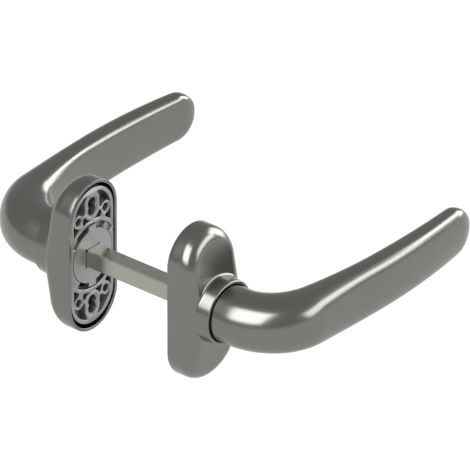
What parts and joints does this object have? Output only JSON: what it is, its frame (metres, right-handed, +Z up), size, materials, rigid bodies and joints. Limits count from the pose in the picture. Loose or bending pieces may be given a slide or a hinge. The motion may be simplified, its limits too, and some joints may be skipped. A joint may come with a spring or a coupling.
{
  "type": "lever handle set",
  "caption": "Pair of lever handles on oval roses for a framed door, joined by a square spindle, with openwork fixing plates, drivers and return springs.",
  "frame": {"origin": "middle of the square spindle, on its axis, in the middle of the door leaf", "axes": "+Y along the spindle from the outside handle to the inside handle, +X the way both levers point, +Z up along the roses"},
  "size_m": [0.1355, 0.1678, 0.07],
  "materials": {
    "titanium_satin": "satin titanium-grey lacquer on cast aluminium",
    "zinc_casting": "bare zinc die casting, fine grain",
    "spindle_steel": "drawn square steel bar with a thin zinc coat",
    "spring_steel": "oiled spring wire",
    "black_nylon": "moulded nylon",
    "grub_steel": "black oxide steel"
  },
  "bodies": {
    "roses": {"outside_rose_cover": "titanium_satin", "outside_fixing_plate": "zinc_casting", "outside_slide_washer": "black_nylon", "outside_thrust_washer": "spring_steel", "outside_neck_bush": "black_nylon", "outside_return_spring": "spring_steel", "inside_rose_cover": "titanium_satin", "inside_fixing_plate": "zinc_casting", "inside_slide_washer": "black_nylon", "inside_thrust_washer": "spring_steel", "inside_neck_bush": "black_nylon", "inside_return_spring": "spring_steel"},
    "levers": {"spindle": "spindle_steel", "outside_lever": "titanium_satin", "outside_driver": "zinc_casting", "outside_retaining_ring": "spring_steel", "outside_grub_screw": "grub_steel", "inside_lever": "titanium_satin", "inside_driver": "zinc_casting", "inside_retaining_ring": "spring_steel", "inside_grub_screw": "grub_steel"}
  },
  "joints": [
    {"name": "lever_turn", "type": "hinge", "parent": "roses", "child": "levers", "pos_m": [0, 0, 0], "axis": [0, 1, 0], "range_deg": [-28, 28], "stiffness_Nm_per_rad": 6, "deforming": ["outside_return_spring", "inside_return_spring"]}
  ]
}
